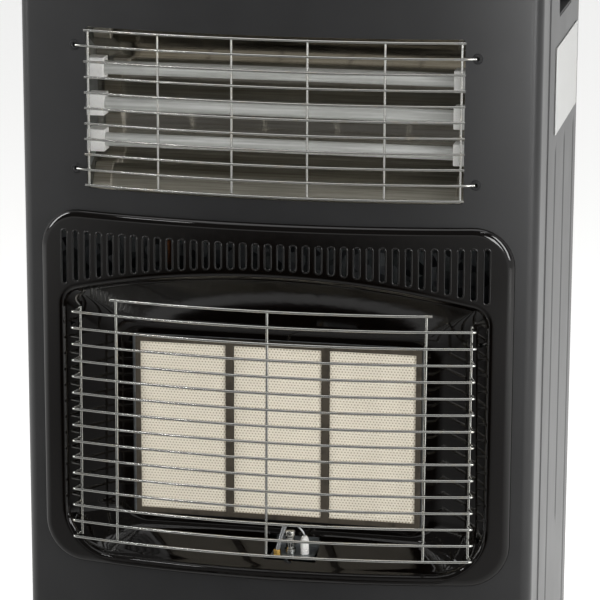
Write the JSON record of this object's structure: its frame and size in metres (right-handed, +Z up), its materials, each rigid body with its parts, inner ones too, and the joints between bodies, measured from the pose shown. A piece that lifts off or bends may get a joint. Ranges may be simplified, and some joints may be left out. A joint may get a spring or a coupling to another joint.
{
  "type": "portable gas cabinet heater",
  "caption": "Tall bow-fronted steel cabinet heater on casters, with a ceramic gas burner behind a wire guard, quartz heating tubes above it and a bottle bay behind a lift-off rear cover.",
  "frame": {"origin": "on the floor, at the middle of the footprint of the whole object", "axes": "+Z up; -Y towards the user, out of the front; +X to the right of someone who faces the front"},
  "size_m": [0.42, 0.4008, 0.7413],
  "materials": {
    "graphite_steel": "fine-textured satin graphite powder coat",
    "black_enamel": "deep gloss black enamel",
    "chrome_wire": "bright nickel-chrome plated wire",
    "bright_reflector": "bright polished aluminium sheet",
    "galvanised_steel": "dull galvanised sheet steel",
    "clamp_steel": "heat-dulled thin steel",
    "brass": "machined brass",
    "copper": "drawn copper tube",
    "plaque_ceramic": "matt porous cream ceramic",
    "white_ceramic": "white steatite",
    "frosted_quartz": "frosted quartz",
    "black_plastic": "fine-grained matt black",
    "gloss_black_plastic": "smooth gloss black",
    "red_plastic": "smooth red",
    "caster_tread": "dull black",
    "label_film": "blank light grey film"
  },
  "bodies": {
    "cabinet": {"front_panel": "graphite_steel", "side_panel_left": "graphite_steel", "side_panel_right": "graphite_steel", "top_panel": "graphite_steel", "base_plate": "graphite_steel", "rear_rail": "graphite_steel", "burner_bezel": "black_enamel", "burner_guard": "chrome_wire", "upper_guard": "chrome_wire", "pilot_burner": "chrome_wire", "reflector": "bright_reflector", "heat_shield": "galvanised_steel", "plenum_box": "galvanised_steel", "gas_manifold": "galvanised_steel", "pilot_bracket": "galvanised_steel", "gas_valve": "galvanised_steel", "element_plate_left": "galvanised_steel", "element_plate_right": "galvanised_steel", "plaque_retainer": "clamp_steel", "thermocouple": "brass", "hose_nozzle": "brass", "gas_pipe": "copper", "pilot_pipe": "copper", "ceramic_plaque_1": "plaque_ceramic", "ceramic_plaque_2": "plaque_ceramic", "ceramic_plaque_3": "plaque_ceramic", "igniter_electrode": "white_ceramic", "ceramic_cap_left_1": "white_ceramic", "ceramic_cap_left_2": "white_ceramic", "ceramic_cap_left_3": "white_ceramic", "ceramic_cap_right_1": "white_ceramic", "ceramic_cap_right_2": "white_ceramic", "ceramic_cap_right_3": "white_ceramic", "quartz_tube_1": "frosted_quartz", "quartz_tube_2": "frosted_quartz", "quartz_tube_3": "frosted_quartz", "hand_grip_left": "black_plastic", "hand_grip_right": "black_plastic", "tip_over_switch": "black_plastic", "cord_gland": "black_plastic", "control_console": "black_plastic", "piezo_igniter": "black_plastic", "rocker_housing_1": "black_plastic", "rocker_housing_2": "black_plastic", "rating_label": "label_film"},
    "rear_cover": {"rear_cover": "graphite_steel"},
    "valve_spindle": {"valve_spindle": "brass"},
    "gas_knob": {"gas_knob": "black_plastic"},
    "piezo_button": {"piezo_button": "red_plastic"},
    "rocker_1": {"rocker_switch_1": "gloss_black_plastic"},
    "rocker_2": {"rocker_switch_2": "gloss_black_plastic"},
    "caster_front_left": {"caster_fork_front_left": "galvanised_steel"},
    "wheel_front_left": {"caster_wheel_front_left": "caster_tread"},
    "caster_front_right": {"caster_fork_front_right": "galvanised_steel"},
    "wheel_front_right": {"caster_wheel_front_right": "caster_tread"},
    "caster_rear_left": {"caster_fork_rear_left": "galvanised_steel"},
    "wheel_rear_left": {"caster_wheel_rear_left": "caster_tread"},
    "caster_rear_right": {"caster_fork_rear_right": "galvanised_steel"},
    "wheel_rear_right": {"caster_wheel_rear_right": "caster_tread"}
  },
  "joints": [
    {"name": "rear_cover_lift_off", "type": "slide", "parent": "cabinet", "child": "rear_cover", "axis": [0, 1, 0], "range_m": [0, 0.12]},
    {"name": "gas_knob_turn", "type": "hinge", "parent": "cabinet", "child": "valve_spindle", "pos_m": [-0.1, 0.05311, 0.72], "axis": [0, 0, 1], "range_deg": [0, 210]},
    {"name": "gas_knob_push", "type": "slide", "parent": "valve_spindle", "child": "gas_knob", "axis": [0, 0, -1], "range_m": [0, 0.004], "stiffness_N_per_m": 1500, "springref_m": -0.002},
    {"name": "piezo_push", "type": "slide", "parent": "cabinet", "child": "piezo_button", "axis": [0, 0, -1], "range_m": [0, 0.006], "stiffness_N_per_m": 1500, "springref_m": -0.003},
    {"name": "rocker_1_tilt", "type": "hinge", "parent": "cabinet", "child": "rocker_1", "pos_m": [0.052, 0.05311, 0.7183], "axis": [1, 0, 0], "range_deg": [0, 16]},
    {"name": "rocker_2_tilt", "type": "hinge", "parent": "cabinet", "child": "rocker_2", "pos_m": [0.1, 0.05311, 0.7183], "axis": [1, 0, 0], "range_deg": [0, 16]},
    {"name": "caster_front_left_swivel", "type": "hinge", "parent": "cabinet", "child": "caster_front_left", "pos_m": [-0.17, -0.12285, 0.045], "axis": [0, 0, 1], "continuous": true},
    {"name": "wheel_front_left_spin", "type": "hinge", "parent": "caster_front_left", "child": "wheel_front_left", "pos_m": [-0.17, -0.10685, 0.02], "axis": [1, 0, 0], "continuous": true},
    {"name": "caster_front_right_swivel", "type": "hinge", "parent": "cabinet", "child": "caster_front_right", "pos_m": [0.17, -0.12285, 0.045], "axis": [0, 0, 1], "continuous": true},
    {"name": "wheel_front_right_spin", "type": "hinge", "parent": "caster_front_right", "child": "wheel_front_right", "pos_m": [0.17, -0.10685, 0.02], "axis": [1, 0, 0], "continuous": true},
    {"name": "caster_rear_left_swivel", "type": "hinge", "parent": "cabinet", "child": "caster_rear_left", "pos_m": [-0.17, 0.08711, 0.045], "axis": [0, 0, 1], "continuous": true},
    {"name": "wheel_rear_left_spin", "type": "hinge", "parent": "caster_rear_left", "child": "wheel_rear_left", "pos_m": [-0.17, 0.10311, 0.02], "axis": [1, 0, 0], "continuous": true},
    {"name": "caster_rear_right_swivel", "type": "hinge", "parent": "cabinet", "child": "caster_rear_right", "pos_m": [0.17, 0.08711, 0.045], "axis": [0, 0, 1], "continuous": true},
    {"name": "wheel_rear_right_spin", "type": "hinge", "parent": "caster_rear_right", "child": "wheel_rear_right", "pos_m": [0.17, 0.10311, 0.02], "axis": [1, 0, 0], "continuous": true}
  ]
}
